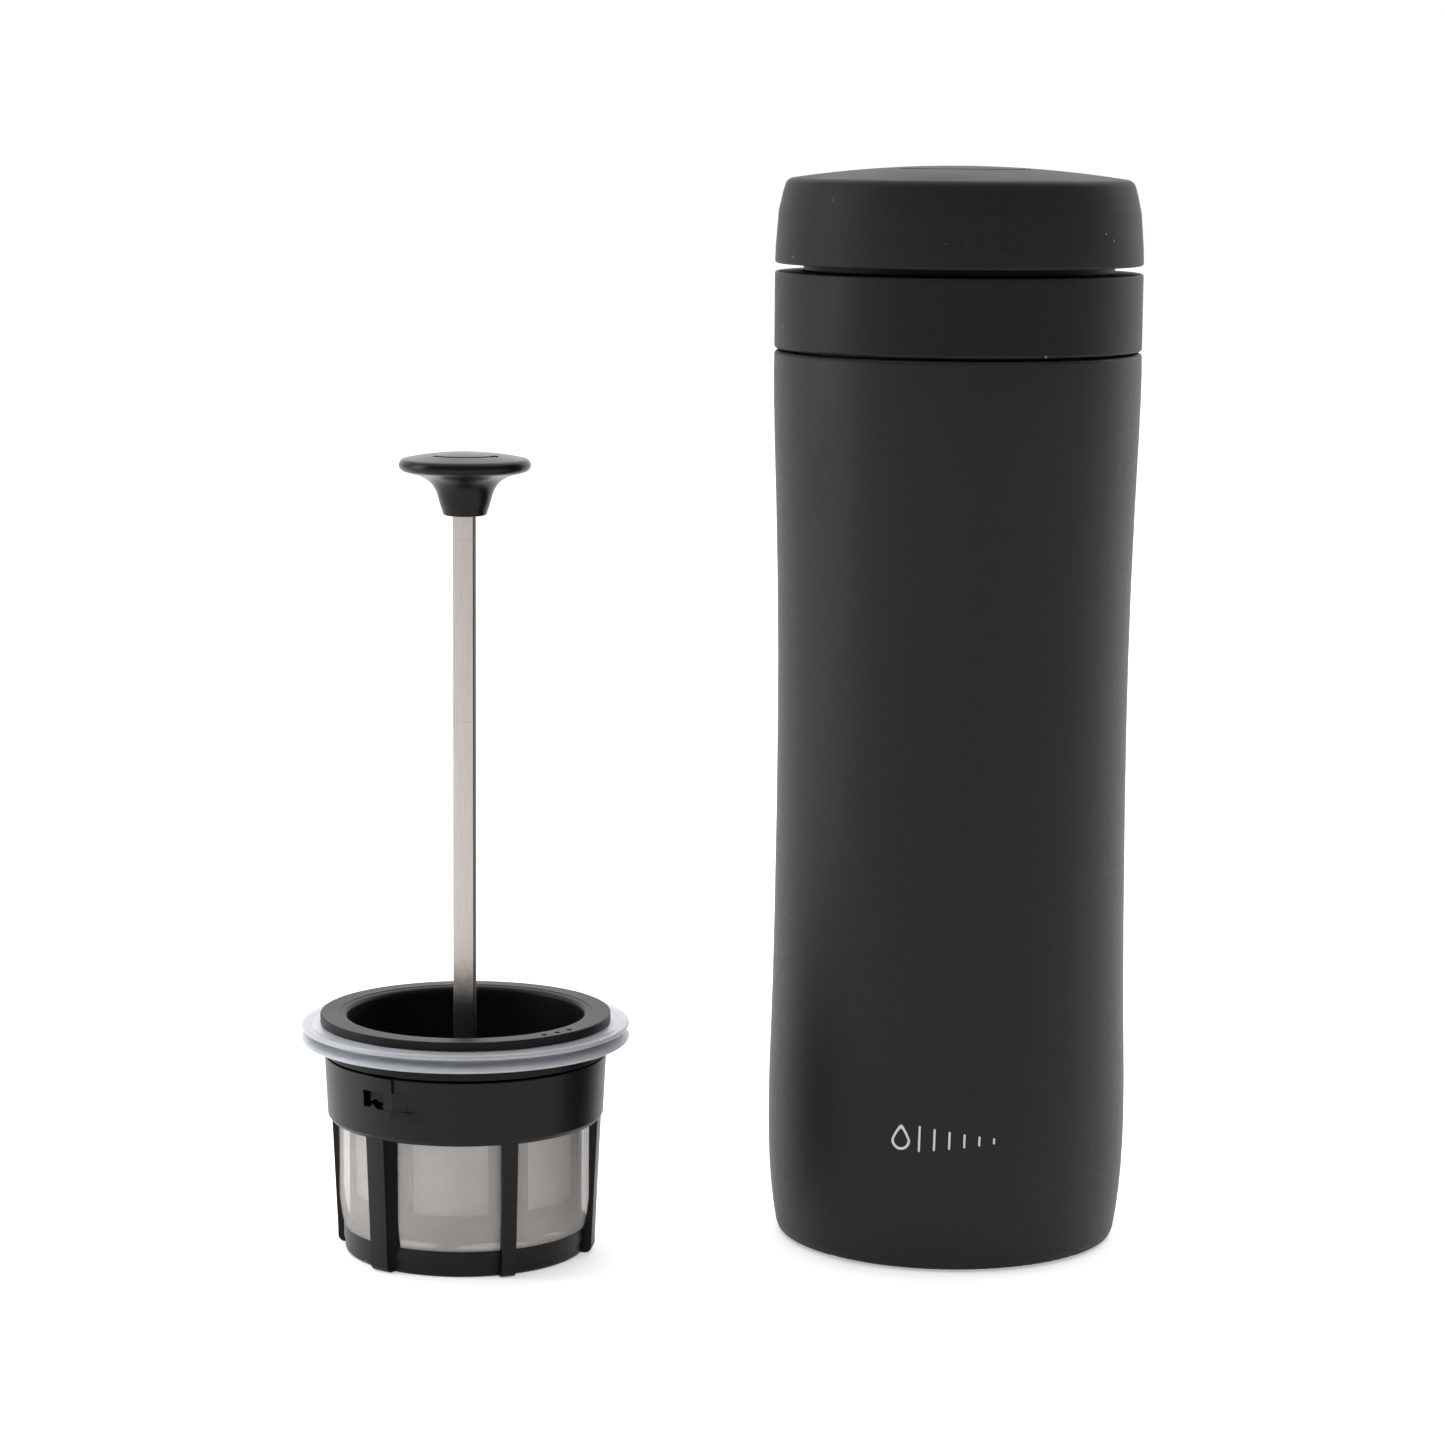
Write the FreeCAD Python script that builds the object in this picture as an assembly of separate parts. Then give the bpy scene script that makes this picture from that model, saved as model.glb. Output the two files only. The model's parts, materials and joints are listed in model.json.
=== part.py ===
import FreeCAD, Part
import math
import os

# Travel french press: an insulated bottle with a collar and a screw cap, and beside it the double filter
# with its rod and knob. Millimetres. The origin is the centre of the bottle's base, +Z is up along the
# bottle's axis, and the filter stands on the same surface at (PRESS_X, PRESS_Y).
# Angles called "bearing" are in degrees about an upright axis, from the front (-Y), positive towards +X.

# Driving dimensions: bottle
BODY_TOP = 179.3
BODY_R = 36.5
WALL = 0.8
LINER_WALL = 0.5
LINER_R = 31.2
LINER_FLOOR = 9.0
NECK_R = 33.2
MOUTH_Z = 192.0
FLANGE = 0.8
BASE_GAP = 0.4
PLATE_Z = 3.0
VACUUM_HOLE_R = 1.5
# The coated wall's outside as (radius, height): full above the base, slim at the waist, full at the top.
WALL_SHAPE = [(34.5, 2.0), (35.25, 7.0), (36.05, 17.0), (36.2, 27.0), (35.75, 46.0), (35.35, 68.0),
              (35.1, 108.0), (35.5, 138.0), (36.25, 162.0), (36.5, 172.0), (36.5, 178.3)]

# Driving dimensions: collar and cap
SEAM = 0.4
COLLAR_TOP = 194.9
COLLAR_SKIRT_R = 34.4
SEAL_T = 0.9
LIP_R = 28.7
LIP_OUTER_R = 30.85
LIP_TOP = 207.0
CAP_BOTTOM = 196.5
CAP_INNER_R = 34.3
CAP_SHOULDER_Z = 213.3
CAP_SHOULDER_R = 33.0
CAP_TOP = 215.8
CAP_SEAL_T = 1.2
CAP_WALL = 2.2
LINER_CLEARANCE = 0.1

# Driving dimensions: both screw threads
LEAD = 9.0
STARTS = 3
RIDGE_ARC = 100.0
RIDGE_HEIGHT = 0.85
RIDGE_ROOT = 1.3
RIDGE_CREST = 0.7
RUNNING_GAP = 0.3
ROOT_SINK = 0.3

# Driving dimensions: filter
PRESS_X = -97.0
PRESS_Y = -16.4
RIB_FIRST = -37.5
RIB_COUNT = 6
WIDE_RIB = 9.5
NARROW_RIB = 6.4
BAND_BOTTOM = 27.0
BAND_TOP = 39.85
BAND_R = 28.1
BAND_INNER_R = 25.6
RIB_TOP_R = 27.2
RIB_FOOT_R = 26.0
BASE_RING_R = 24.4
BASE_RING_TOP = 5.3
MESH_T = 0.3
LEDGE_Z = 29.9
LEDGE_R = 24.0
WALL_OUTER_R = 25.2
CUP_R = 23.6
BASKET_R = 23.2
BASKET_INNER_R = 21.95
BASKET_BOTTOM = 6.3
BASKET_FLOOR_T = 2.0
BASKET_RING_TOP = 11.8
BASKET_RIB_FIRST = 25.2
BASKET_RIB = 20.0
FLANGE_BOTTOM = 40.2
FLANGE_TOP = 42.4
SEAL_SEAT_R = 27.0
RING_BOTTOM = 46.35
RING_TOP = 48.1
RING_R = 28.9
SEAL_R = 32.65
LUG_START = -40.0
LUG_END = -31.0
LUG_R = 26.9
LUG_BOTTOM = 34.6
LUG_TOP = 36.5
TWIST = 10.0
LUG_COUNT = 2
SPOKE_COUNT = 3

# Driving dimensions: rod and knob
ROD_WIDTH = 4.35
ROD_THICK = 2.0
ROD_BEARING = -12.4
ROD_BOTTOM = 11.3
ROD_TOP = 147.9
STUD_R = 1.9
HUB_R = 4.5
HUB_TOP = 10.8
STUD_LENGTH = 5.3
NUT_HEIGHT = 2.0
KNOB_BOTTOM = 147.3
KNOB_R = 12.95
KNOB_RIM_Z = 157.2
KNOB_RIM_T = 2.6
KNOB_TOP = 159.7


def vec(x, y, z):
    return FreeCAD.Vector(x, y, z)


def bearing_point(radius, bearing, z=0.0):
    """The point at that radius and bearing about the Z axis."""
    a = math.radians(bearing)
    return vec(radius * math.sin(a), -radius * math.cos(a), z)


def straight(a, b):
    return Part.LineSegment(a, b).toShape()


def rounded_path(corners):
    """Edges through (radius, height) corners in the XZ plane. A third number is the fillet at that corner."""
    points = [vec(c[0], 0, c[1]) for c in corners]
    edges = []
    last = points[0]
    for i in range(1, len(points) - 1):
        here = points[i]
        fillet = corners[i][2] if len(corners[i]) > 2 else 0.0
        if fillet == 0.0:
            edges.append(straight(last, here))
            last = here
            continue
        back = (points[i - 1] - here).normalize()
        ahead = (points[i + 1] - here).normalize()
        half = back.getAngle(ahead) / 2
        start = here + back * (fillet / math.tan(half))
        end = here + ahead * (fillet / math.tan(half))
        middle = here + (back + ahead).normalize() * (fillet / math.sin(half) - fillet)
        if (start - last).Length > 1e-6:
            edges.append(straight(last, start))
        edges.append(Part.Arc(start, middle, end).toShape())
        last = end
    edges.append(straight(last, points[-1]))
    return edges


def smooth_path(points):
    """One smooth edge through (radius, height) points."""
    curve = Part.BSplineCurve()
    curve.interpolate([vec(r, 0, z) for r, z in points])
    return curve.toShape()


def turned_edges(edges, start=0.0, sweep=360.0):
    """The solid that a closed outline of edges sweeps about the Z axis, from a bearing."""
    face = Part.Face(Part.Wire(Part.__sortEdges__(edges)))
    solid = face.revolve(vec(0, 0, 0), vec(0, 0, 1), sweep)
    solid.rotate(vec(0, 0, 0), vec(0, 0, 1), start - 90.0)
    return solid


def turned(corners, start=0.0, sweep=360.0):
    """The solid of a closed outline of corners. The outline starts and ends at its first corner."""
    return turned_edges(rounded_path(corners + [corners[0][:2]]), start, sweep)


def ring(inner, outer, bottom, top, start=0.0, sweep=360.0):
    """A plain ring, or the stretch of it from one bearing over a sweep."""
    return turned([(inner, bottom), (outer, bottom), (outer, top), (inner, top)], start, sweep)


def prism(points, bottom, top):
    """An upright prism on a closed plan outline of vectors."""
    face = Part.Face(Part.makePolygon(points + [points[0]]))
    face.translate(vec(0, 0, bottom))
    return face.extrude(vec(0, 0, top - bottom))


def turn_copies(shape, count):
    """That shape at equal steps round the Z axis."""
    copies = []
    for i in range(count):
        copy = shape.copy()
        copy.rotate(vec(0, 0, 0), vec(0, 0, 1), 360.0 / count * i)
        copies.append(copy)
    return copies


def sphere_drop(radius, rise, r):
    """How far a shallow dome of that base radius and rise has dropped at radius r."""
    ball = (radius * radius + rise * rise) / (2 * rise)
    return ball - math.sqrt(ball * ball - r * r)


def dome_arc(radius, base_z, top_z):
    """The dome's outline from its rim to its top on the axis."""
    half = radius / 2
    middle = vec(half, 0, top_z - sphere_drop(radius, top_z - base_z, half))
    return Part.Arc(vec(radius, 0, base_z), middle, vec(0, 0, top_z)).toShape()


def thread_ridges(wall_r, inward, start_z):
    """Helical ridges standing on a wall, one per start. They lean on the wall by ROOT_SINK."""
    side = -1.0 if inward else 1.0
    root_r = wall_r - side * ROOT_SINK
    crest_r = wall_r + side * RIDGE_HEIGHT
    rise = LEAD * RIDGE_ARC / 360.0
    path = Part.Wire(Part.makeHelix(LEAD, rise, wall_r).Edges)
    outline = [vec(root_r, 0, -RIDGE_ROOT / 2), vec(crest_r, 0, -RIDGE_CREST / 2),
               vec(crest_r, 0, RIDGE_CREST / 2), vec(root_r, 0, RIDGE_ROOT / 2)]
    section = Part.makePolygon(outline + [outline[0]])
    ridge = path.makePipeShell([section], True, True)
    ridge.translate(vec(0, 0, start_z))
    return turn_copies(ridge, STARTS)


def turn_arrows(r, half_width, surface_z, depth, sweep):
    """Cutters for two engraved arrows that go round a dome's top at radius r."""
    cutters = []
    floor = surface_z - depth
    roof = surface_z + 3.0
    for bearing in (0.0, 180.0):
        start = bearing - sweep / 2
        end = bearing + sweep / 2
        cutters.append(ring(r - half_width, r + half_width, floor, roof, start, sweep))
        tip = bearing_point(r, end + math.degrees(4 * half_width / r))
        inner = bearing_point(r - 2.6 * half_width, end)
        outer = bearing_point(r + 2.6 * half_width, end)
        cutters.append(prism([tip, outer, inner], floor, roof))
    return cutters


# Bottle

def outer_shell():
    """Coated wall, flat shoulder under the collar, and the threaded neck, in one drawn sheet."""
    inside = [(r - WALL, z) for r, z in WALL_SHAPE]
    top_r, top_z = WALL_SHAPE[-1]
    under_flange = MOUTH_Z - FLANGE
    neck_inner_r = NECK_R - 0.5
    shoulder = rounded_path([(top_r, top_z), (top_r, BODY_TOP, 0.8), (NECK_R, BODY_TOP), (NECK_R, under_flange),
                             (neck_inner_r, under_flange), (neck_inner_r, BODY_TOP - WALL),
                             (top_r - WALL, BODY_TOP - WALL, 0.5), (top_r - WALL, top_z)])
    foot = rounded_path([(inside[0][0], inside[0][1]), (33.4, BASE_GAP + 1.0), (32.7, BASE_GAP + 0.5),
                         (32.7, BASE_GAP), (33.9, BASE_GAP, 0.9), (34.5, 2.0)])
    shell = turned_edges([smooth_path(WALL_SHAPE), smooth_path(inside)] + shoulder + foot)
    return shell.fuse(thread_ridges(NECK_R, False, BODY_TOP + 5.0)).removeSplitter()


def inner_shell():
    """Liner with a dished bottom corner and the flange that joins the neck."""
    outer_r = LINER_R + LINER_WALL
    under_flange = MOUTH_Z - FLANGE
    floor_z = LINER_FLOOR
    outside = rounded_path([(0, floor_z), (0, floor_z - LINER_WALL), (outer_r, floor_z - LINER_WALL, 4.5),
                            (outer_r, under_flange), (NECK_R, under_flange), (NECK_R, MOUTH_Z, 0.3),
                            (LINER_R, MOUTH_Z, 0.4), (LINER_R, floor_z, 4.0), (0, floor_z)])
    return turned_edges(outside)


def base_plate():
    plate = turned([(0, PLATE_Z), (33.6, PLATE_Z), (33.6, PLATE_Z + WALL), (0, PLATE_Z + WALL)])
    return plate.cut(Part.makeCylinder(VACUUM_HOLE_R, 4 * WALL, vec(0, 0, PLATE_Z - WALL)))


def vacuum_plug():
    """The glass bead that closes the hole, with a low dome on its inner side."""
    r = VACUUM_HOLE_R - 0.05
    top = PLATE_Z + WALL
    bottom = PLATE_Z + 0.1
    return turned([(0, bottom), (r, bottom), (r, top, 0.3), (0.6, top + 0.5, 0.2), (0, top + 0.5)])


def getter():
    """A pellet on the plate, inside the vacuum space."""
    pellet = turned([(0, 0), (5.0, 0, 0.4), (5.0, 1.8, 0.5), (0, 1.8)])
    pellet.translate(vec(14.0, 0, PLATE_Z + WALL))
    return pellet


def base_pad():
    return turned([(0, 0), (32.3, 0, 0.5), (32.3, PLATE_Z, 0.3), (0, PLATE_Z)])


# Collar and cap

def collar():
    """Skirt over the steel neck, web on the mouth, and the drinking lip with the cap's thread."""
    web = MOUTH_Z + SEAL_T
    body = turned([(COLLAR_SKIRT_R, BODY_TOP + SEAM), (BODY_R, BODY_TOP + SEAM, 0.6), (BODY_R, COLLAR_TOP, 0.45),
                   (LIP_OUTER_R, COLLAR_TOP, 0.4), (LIP_OUTER_R, LIP_TOP, 0.9), (LIP_R, LIP_TOP, 0.9),
                   (LIP_R, web, 0.6), (COLLAR_SKIRT_R, web)])
    skirt = thread_ridges(NECK_R + RIDGE_HEIGHT + RUNNING_GAP, True, BODY_TOP + 5.0 - LEAD / STARTS / 2)
    lip = thread_ridges(LIP_OUTER_R, False, CAP_BOTTOM + 3.2)
    return body.fuse(skirt + lip).removeSplitter()


def collar_seal():
    return turned([(LINER_R + 0.1, MOUTH_Z), (NECK_R, MOUTH_Z, 0.2), (NECK_R, MOUTH_Z + SEAL_T, 0.2),
                   (LINER_R + 0.1, MOUTH_Z + SEAL_T)])


def cap_shell():
    """Tapered side, rounded shoulder and shallow dome, hollow above the liner."""
    rise = CAP_TOP - CAP_SHOULDER_Z
    inner_r = CAP_SHOULDER_R - 1.6
    side = rounded_path([(CAP_INNER_R, CAP_BOTTOM), (BODY_R, CAP_BOTTOM, 0.5), (36.38, 200.0, 8.0),
                         (35.85, 206.8, 8.0), (35.1, 210.2, 3.0), (34.3, 213.0, 1.9),
                         (CAP_SHOULDER_R, CAP_SHOULDER_Z)])
    inside = [dome_arc(inner_r, CAP_SHOULDER_Z - CAP_WALL, CAP_SHOULDER_Z - CAP_WALL + rise)]
    inside += rounded_path([(inner_r, CAP_SHOULDER_Z - CAP_WALL), (inner_r, CAP_SHOULDER_Z - CAP_WALL - 1.0),
                            (CAP_INNER_R, 208.9), (CAP_INNER_R, CAP_BOTTOM)])
    axis = [straight(vec(0, 0, CAP_SHOULDER_Z - CAP_WALL + rise), vec(0, 0, CAP_TOP))]
    shell = turned_edges(side + [dome_arc(CAP_SHOULDER_R, CAP_SHOULDER_Z, CAP_TOP)] + axis + inside)
    mark_r = 15.0
    surface = CAP_TOP - sphere_drop(CAP_SHOULDER_R, rise, mark_r)
    return shell.cut(turn_arrows(mark_r, 0.55, surface, 0.5, 110.0))


def cap_liner():
    """Inner cap: threaded skirt, and the disc that presses on the cap's seal."""
    outer_r = CAP_INNER_R - LINER_CLEARANCE
    inner_r = LIP_OUTER_R + RIDGE_HEIGHT + RUNNING_GAP
    disc = LIP_TOP + CAP_SEAL_T
    rim_z = CAP_BOTTOM + 0.5
    body = turned([(0, disc), (inner_r, disc), (inner_r, rim_z, 0.3), (outer_r, rim_z, 0.3), (outer_r, disc + 0.5), (33.0, disc + 1.2), (0, disc + 1.2)])
    ridges = thread_ridges(inner_r, True, CAP_BOTTOM + 3.2 - LEAD / STARTS / 2)
    return body.fuse(ridges).removeSplitter()


def cap_seal():
    inner_r = LIP_R - 0.2
    outer_r = LIP_OUTER_R + 0.45
    top = LIP_TOP + CAP_SEAL_T
    return turned([(inner_r, LIP_TOP), (outer_r, LIP_TOP, 0.3), (outer_r, top), (inner_r, top)])


# Rod and knob. These and the filters are modelled about the Z axis and moved to the filter's place at the end.

def knob():
    """Shallow dome, rounded rim and a stem that flares up into the rim, with two engraved arrows."""
    rim_r = KNOB_R - 0.45 * KNOB_RIM_T
    dome_z = KNOB_RIM_Z + KNOB_RIM_T / 2
    under_z = KNOB_RIM_Z - KNOB_RIM_T / 2
    stem = [(4.55, 148.4), (4.95, 149.6), (5.3, 150.9), (5.75, 152.2), (6.5, 153.4), (7.6, 154.4),
            (9.3, 155.2), (10.6, 155.55)]
    rim = [Part.Arc(vec(rim_r, 0, dome_z), vec(KNOB_R, 0, KNOB_RIM_Z), vec(rim_r, 0, under_z)).toShape()]
    lower = [straight(vec(rim_r, 0, under_z), vec(stem[-1][0], 0, stem[-1][1])), smooth_path(stem)]
    foot = rounded_path([(4.55, 148.4), (4.25, KNOB_BOTTOM, 0.5), (2.4, KNOB_BOTTOM), (2.4, ROD_TOP + 0.1),
                         (3.25, ROD_TOP + 0.1), (3.25, 154.6), (0, 154.6), (0, KNOB_TOP)])
    body = turned_edges([dome_arc(rim_r, dome_z, KNOB_TOP)] + rim + lower + foot)
    mark_r = 7.4
    surface = KNOB_TOP - sphere_drop(rim_r, KNOB_TOP - dome_z, mark_r)
    return body.cut(turn_arrows(mark_r, 0.42, surface, 0.35, 105.0))


def knob_insert():
    return ring(STUD_R + 0.05, 3.2, ROD_TOP + 0.15, 154.5)


def plunger_rod():
    """Flat bar with rounded edges, and a stud at each end."""
    corner = vec(-ROD_WIDTH / 2, -ROD_THICK / 2, ROD_BOTTOM)
    bar = Part.makeBox(ROD_WIDTH, ROD_THICK, ROD_TOP - ROD_BOTTOM, corner)
    upright = [e for e in bar.Edges if abs(e.tangentAt(e.FirstParameter).z) > 0.9]
    bar = bar.makeFillet(0.25, upright)
    sunk = 0.5
    studs = [Part.makeCylinder(STUD_R, STUD_LENGTH + sunk, vec(0, 0, ROD_BOTTOM - STUD_LENGTH)),
             Part.makeCylinder(STUD_R, STUD_LENGTH + sunk, vec(0, 0, ROD_TOP - sunk))]
    rod = bar.fuse(studs).removeSplitter()
    rod.rotate(vec(0, 0, 0), vec(0, 0, 1), ROD_BEARING)
    return rod


def rod_washer():
    return ring(STUD_R + 0.1, 3.6, HUB_TOP, ROD_BOTTOM)


def rod_nut():
    """Thin hexagon nut in the hub's recess."""
    bottom = BASKET_BOTTOM + 0.1
    nut = prism([bearing_point(3.4, 60.0 * i) for i in range(6)], bottom, bottom + NUT_HEIGHT)
    return nut.cut(Part.makeCylinder(STUD_R + 0.05, 4.0, vec(0, 0, bottom - 1.0)))


# Inner filter

def top_ring():
    """Flat ring with a rounded opening, a tongue under it, and three sunk dots as its only marking."""
    tongue_z = RING_BOTTOM - 1.1
    body = turned([(CUP_R, RING_BOTTOM), (24.8, RING_BOTTOM), (24.8, tongue_z), (25.8, tongue_z),
                   (25.8, RING_BOTTOM), (RING_R, RING_BOTTOM), (RING_R, RING_TOP, 0.25), (25.2, RING_TOP),
                   (25.1, RING_TOP - 0.12), (CUP_R, RING_TOP - 0.15, 0.9)])
    dots = []
    for bearing in (38.0, 45.0, 52.0):
        place = bearing_point(27.0, bearing, RING_TOP - 0.3)
        dots.append(Part.makeCylinder(0.6, 1.0, place))
    return body.cut(dots)


def lip_seal():
    """Double-lip ring: two soft lips with a groove between them."""
    bottom = FLANGE_TOP + 0.1
    top = RING_BOTTOM - 0.1
    return turned([(27.3, bottom), (30.6, bottom), (SEAL_R, 42.85, 0.35), (SEAL_R, 44.0, 0.4),
                   (31.7, 44.25, 0.2), (31.7, 45.2, 0.2), (SEAL_R, 45.4, 0.3), (SEAL_R - 0.05, 46.3, 0.4),
                   (30.2, 46.1), (29.6, top), (27.3, top)])


def inner_filter_frame():
    """Solid cup wall above, six wide ribs, and a base ring with spokes and the rod's hub."""
    wall = turned([(BASKET_INNER_R, LEDGE_Z), (WALL_OUTER_R, LEDGE_Z, 0.4), (WALL_OUTER_R, FLANGE_BOTTOM),
                   (BAND_R, FLANGE_BOTTOM, 0.3), (BAND_R, FLANGE_TOP, 0.3), (SEAL_SEAT_R, FLANGE_TOP),
                   (SEAL_SEAT_R, RING_BOTTOM), (25.9, RING_BOTTOM), (25.9, RING_BOTTOM - 1.2),
                   (24.7, RING_BOTTOM - 1.2), (24.7, RING_BOTTOM), (CUP_R, RING_BOTTOM), (CUP_R, 33.5, 1.5),
                   (BASKET_INNER_R, 31.6)])
    floor_top = BASKET_BOTTOM + BASKET_FLOOR_T
    basket = turned([(19.5, BASKET_BOTTOM), (BASKET_R, BASKET_BOTTOM, 0.8), (BASKET_R, BASKET_RING_TOP),
                     (BASKET_INNER_R, BASKET_RING_TOP), (BASKET_INNER_R, floor_top), (19.5, floor_top)])
    rib_start = BASKET_RIB_FIRST - BASKET_RIB / 2
    rib = ring(BASKET_INNER_R, BASKET_R, BASKET_RING_TOP - 0.5, LEDGE_Z + 0.5, rib_start, BASKET_RIB)
    hub = Part.makeCylinder(HUB_R, HUB_TOP - BASKET_BOTTOM, vec(0, 0, BASKET_BOTTOM))
    spoke = Part.makeBox(16.6, 2.6, BASKET_FLOOR_T, vec(3.5, -1.3, BASKET_BOTTOM))
    lug = ring(WALL_OUTER_R - 0.5, LUG_R, LUG_BOTTOM, LUG_TOP, LUG_START, LUG_END - LUG_START)
    notch = Part.makeCylinder(0.9, 6.0, bearing_point(23.5, -37.0, LUG_BOTTOM - 0.4), bearing_point(1.0, -37.0))
    notch = notch.common(ring(WALL_OUTER_R + 0.1, 30.0, 30.0, 40.0))
    lugs = turn_copies(lug.cut(notch), LUG_COUNT)
    frame = wall.fuse([basket, hub] + turn_copies(rib, RIB_COUNT) + turn_copies(spoke, SPOKE_COUNT) + lugs)
    bore = Part.makeCylinder(STUD_R + 0.1, 12.0, vec(0, 0, 0))
    recess = Part.makeCylinder(3.65, NUT_HEIGHT + 0.2, vec(0, 0, BASKET_BOTTOM))
    return frame.cut([bore, recess]).removeSplitter()


def inner_filter_mesh():
    bottom = BASKET_BOTTOM + BASKET_FLOOR_T + MESH_T + 0.1
    return ring(BASKET_INNER_R - 0.1 - MESH_T, BASKET_INNER_R - 0.1, bottom, 31.5)


def inner_bottom_mesh():
    floor_top = BASKET_BOTTOM + BASKET_FLOOR_T
    return ring(HUB_R + 0.1, 21.8, floor_top, floor_top + MESH_T)


# Outer filter

def mesh_radius(z):
    """The outer sleeve's outside radius: it tucks in to meet the base ring and stands nearly upright above."""
    low = 24.35
    high = 25.3
    knee = 12.0
    if z >= knee:
        return high
    part = (z - BASE_RING_TOP) / (knee - BASE_RING_TOP)
    return low + (high - low) * math.sin(part * math.pi / 2)


def outer_filter_mesh():
    heights = [BASE_RING_TOP, 7.0, 9.0, 12.0, 17.0, 22.0, 28.5]
    outside = [(mesh_radius(z), z) for z in heights]
    inside = [(r - MESH_T, z) for r, z in outside]
    ends = []
    for (outer_r, z), (inner_r, _) in ((outside[0], inside[0]), (outside[-1], inside[-1])):
        ends.append(straight(vec(outer_r, 0, z), vec(inner_r, 0, z)))
    return turned_edges([smooth_path(outside), smooth_path(inside)] + ends)


def filter_rib(bearing, width):
    """An upright rib with a rounded foot. Its back stands just clear of the mesh."""
    back = 0.12
    knee = 12.0
    return turned([(23.4, 0), (RIB_FOOT_R - 0.05, 0, 1.4), (RIB_FOOT_R, 3.0), (RIB_TOP_R, BAND_BOTTOM + 1.2),
                   (mesh_radius(knee) + 0.35, BAND_BOTTOM + 1.2), (mesh_radius(knee) + back, BAND_BOTTOM - 1.0),
                   (mesh_radius(knee) + back, knee), (mesh_radius(8.0) + back, 8.0),
                   (mesh_radius(BASE_RING_TOP) + back, BASE_RING_TOP), (23.4, BASE_RING_TOP)],
                  bearing - width / 2, width)


def bayonet_cutters():
    """One entry channel, one blind groove and one window, cut from the band's wall."""
    slack = 1.0
    groove_r = LUG_R + RUNNING_GAP
    entry = ring(BAND_INNER_R - 1.0, groove_r, LUG_TOP - 0.5, BAND_TOP + 1.0, LUG_START - slack,
                 LUG_END - LUG_START + 2 * slack)
    groove = ring(BAND_INNER_R - 1.0, groove_r, 33.9, 36.9, LUG_START - TWIST - slack,
                  LUG_END - LUG_START + TWIST + 2 * slack)
    window = ring(groove_r - 0.5, BAND_R + 2.0, 33.5, 36.8, -42.0, 11.0)
    click = Part.makeCylinder(0.8, 10.0, bearing_point(22.0, -37.0, 33.25), bearing_point(1.0, -37.0))
    return [entry, groove, window.cut(click)]


def bayonet_pads():
    """Outside of one bayonet: a boss over the entry channel and a stepped shelf that runs out to the right."""
    boss = turned([(27.5, 37.0), (28.45, 37.15), (28.6, BAND_TOP), (27.5, BAND_TOP)], -35.5, 8.7)
    sunk = 27.4
    shelf = prism([bearing_point(sunk, -34.0), bearing_point(28.3, -34.0), bearing_point(28.4, -28.0),
                   bearing_point(28.15, -20.0), bearing_point(27.8, -13.5), bearing_point(sunk, -13.5)], 32.0, 33.5)
    panel = prism([bearing_point(sunk, -31.0), bearing_point(28.15, -31.0), bearing_point(28.25, -27.0),
                   bearing_point(27.95, -20.5), bearing_point(sunk, -20.5)], 33.4, 37.1)
    return [boss, shelf, panel]


def outer_filter_frame():
    """Band with the bayonets, six ribs of two widths, base ring and three bars under the bottom mesh."""
    band = turned([(BAND_INNER_R, BAND_BOTTOM), (26.9, BAND_BOTTOM, 0.3), (27.5, BAND_BOTTOM + 0.9, 0.3),
                   (BAND_R, BAND_TOP, 0.2), (BAND_INNER_R, BAND_TOP, 0.2), (BAND_INNER_R, LEDGE_Z),
                   (LEDGE_R, LEDGE_Z), (LEDGE_R, 28.7), (BAND_INNER_R, 28.7)])
    step = 2.5
    base = turned([(20.5, 0), (24.15, 0, 0.8), (24.15, step, 0.1), (BASE_RING_R, step + 0.1, 0.1),
                   (BASE_RING_R, BASE_RING_TOP, 0.15), (22.6, BASE_RING_TOP), (22.6, 1.6), (20.5, 1.6)])
    ribs = []
    for i in range(RIB_COUNT):
        width = NARROW_RIB if i % 2 else WIDE_RIB
        ribs.append(filter_rib(RIB_FIRST + 360.0 / RIB_COUNT * i, width))
    hub = Part.makeCylinder(4.0, 0.8, vec(0, 0, 0.8))
    bar = Part.makeBox(18.0, 2.4, 0.8, vec(3.0, -1.2, 0.8))
    frame = band.fuse([base, hub] + ribs + turn_copies(bar, SPOKE_COUNT))
    for pads in zip(*[turn_copies(p, LUG_COUNT) for p in bayonet_pads()]):
        frame = frame.fuse(list(pads))
    cutters = []
    for cutter in bayonet_cutters():
        cutters += turn_copies(cutter, LUG_COUNT)
    return frame.cut(cutters).removeSplitter()


def outer_bottom_mesh():
    return ring(0.0, 22.5, 1.6, 1.9)


BOTTLE_PIECES = [outer_shell, inner_shell, base_plate, vacuum_plug, getter, base_pad, collar, collar_seal,
                 cap_shell, cap_liner, cap_seal]
FILTER_PIECES = [knob, knob_insert, plunger_rod, rod_washer, rod_nut, top_ring, lip_seal, inner_filter_frame,
                 inner_filter_mesh, inner_bottom_mesh, outer_filter_frame, outer_filter_mesh, outer_bottom_mesh]


def build():
    os.makedirs("parts", exist_ok=True)
    for piece in BOTTLE_PIECES + FILTER_PIECES:
        shape = piece()
        if piece in FILTER_PIECES:
            shape.translate(vec(PRESS_X, PRESS_Y, 0))
        solids = shape.Solids
        box = shape.BoundBox
        print(piece.__name__, "solids", len(solids), "valid", shape.isValid(), "volume", round(shape.Volume, 1),
              "z", round(box.ZMin, 2), round(box.ZMax, 2))
        whole = solids[0] if len(solids) == 1 else Part.makeCompound(solids)
        whole.exportStep("parts/" + piece.__name__ + ".step")


build()
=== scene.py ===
import json
import math

import bmesh
import bpy
from mathutils import Matrix, Vector


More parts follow.
